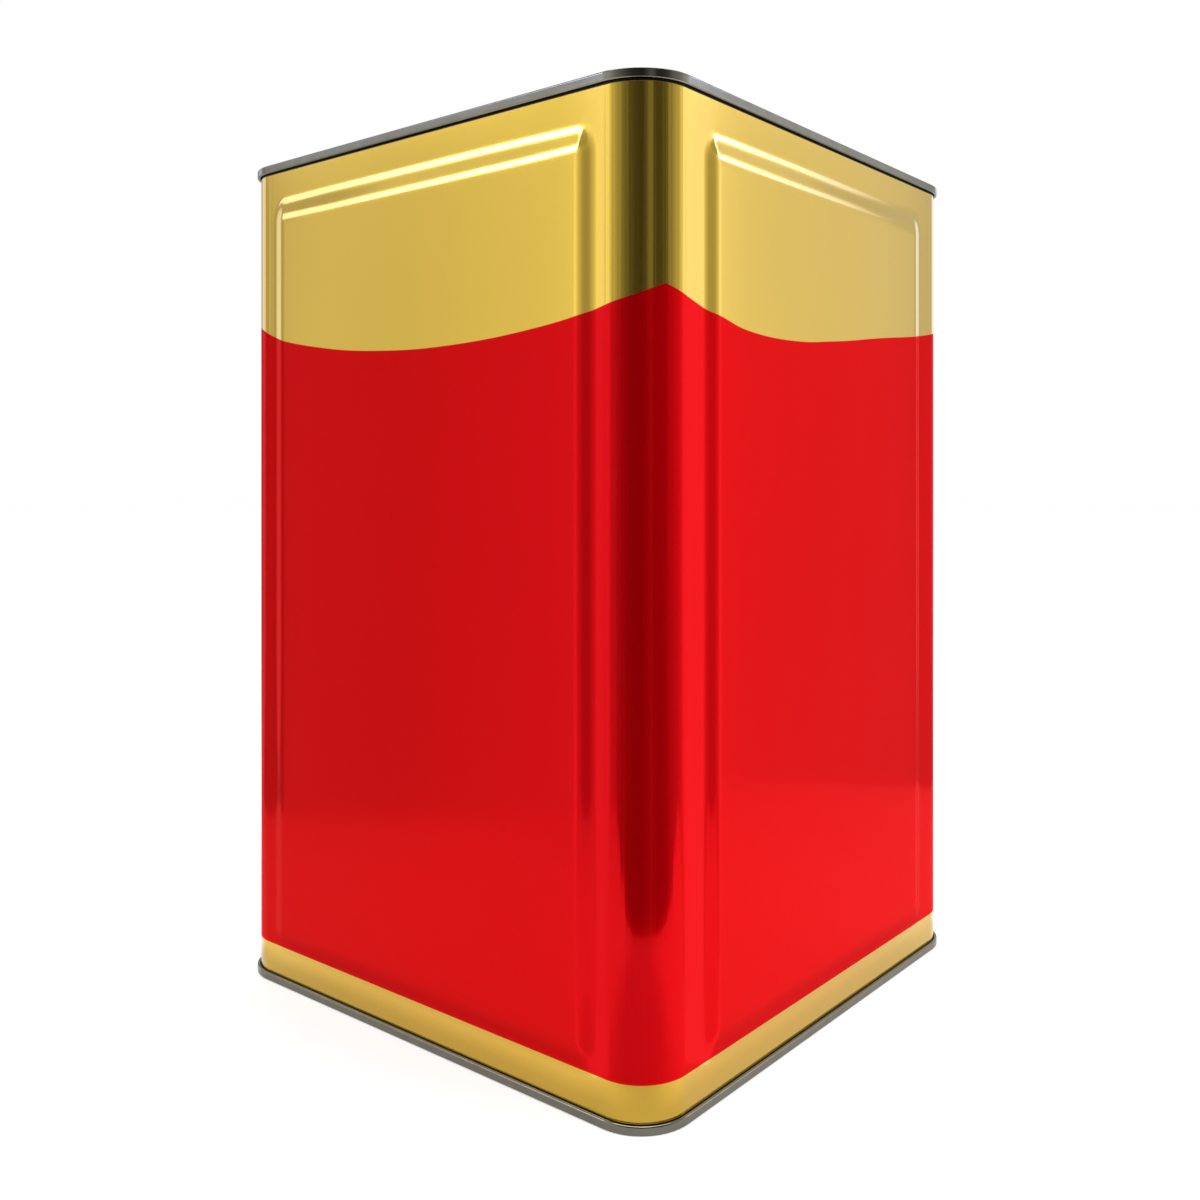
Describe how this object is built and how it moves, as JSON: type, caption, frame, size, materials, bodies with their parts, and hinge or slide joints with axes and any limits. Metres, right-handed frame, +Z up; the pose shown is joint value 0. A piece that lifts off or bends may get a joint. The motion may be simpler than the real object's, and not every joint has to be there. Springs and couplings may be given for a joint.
{
  "type": "square oil tin with spout",
  "caption": "Tall square tinplate oil tin with rounded corners, raised wall panels, double-seamed ends, a swing handle and a pull-up pouring spout with a screw cap.",
  "frame": {"origin": "middle of the base, on the plane that the bottom seam stands on", "axes": "+Z up, -Y out of the wall on the picture's left, +X out of the wall on the picture's right"},
  "size_m": [0.2382, 0.2382, 0.362],
  "materials": {
    "printed_tinplate": "gloss lacquered print, red below and gold above",
    "plain_tinplate": "satin bare tinplate",
    "zinc_wire": "bright zinc",
    "grip_plastic": "fine moulded texture",
    "spout_plastic": "natural polyethylene",
    "cap_plastic": "moulded polyethylene",
    "liner_foam": "closed-cell foam",
    "seal_rubber": "matt",
    "seam_compound": "matt"
  },
  "bodies": {
    "tin": {"body_shell": "printed_tinplate", "top_end": "plain_tinplate", "bottom_end": "plain_tinplate", "top_compound": "seam_compound", "bottom_compound": "seam_compound", "handle_ear_left": "plain_tinplate", "handle_ear_right": "plain_tinplate", "spout_collar": "spout_plastic", "crimp_ring": "plain_tinplate", "neck_gasket": "seal_rubber"},
    "handle": {"handle_wire": "zinc_wire", "handle_grip": "grip_plastic"},
    "spout": {"spout_tube": "spout_plastic", "tamper_band": "cap_plastic"},
    "liner": {"cap_liner": "liner_foam"},
    "cap": {"spout_cap": "cap_plastic"},
    "front_loop": {"pull_loop_front": "cap_plastic"},
    "rear_loop": {"pull_loop_rear": "cap_plastic"}
  },
  "joints": [
    {"name": "handle_swing", "type": "hinge", "parent": "tin", "child": "handle", "pos_m": [0, 0, 0.3567], "axis": [-1, 0, 0], "range_deg": [0, 180]},
    {"name": "spout_lift", "type": "slide", "parent": "tin", "child": "spout", "axis": [0, 0, 1], "range_m": [0, 0.022]},
    {"name": "cap_lift", "type": "slide", "parent": "spout", "child": "liner", "axis": [0, 0, 1], "range_m": [0, 0.0135]},
    {"name": "cap_turn", "type": "hinge", "parent": "liner", "child": "cap", "pos_m": [-0.072, 0.072, 0.358], "axis": [0, 0, 1], "range_deg": [0, 1620]},
    {"name": "front_loop_fold", "type": "hinge", "parent": "cap", "child": "front_loop", "pos_m": [-0.072, 0.072, 0.3582], "axis": [-1, 0, 0], "range_deg": [0, 90]},
    {"name": "rear_loop_fold", "type": "hinge", "parent": "cap", "child": "rear_loop", "pos_m": [-0.072, 0.072, 0.3582], "axis": [1, 0, 0], "range_deg": [0, 90]}
  ],
  "couplings": [
    {"joint": "cap_lift", "follows": "cap_turn", "m_per_rad": 0.00047746}
  ]
}
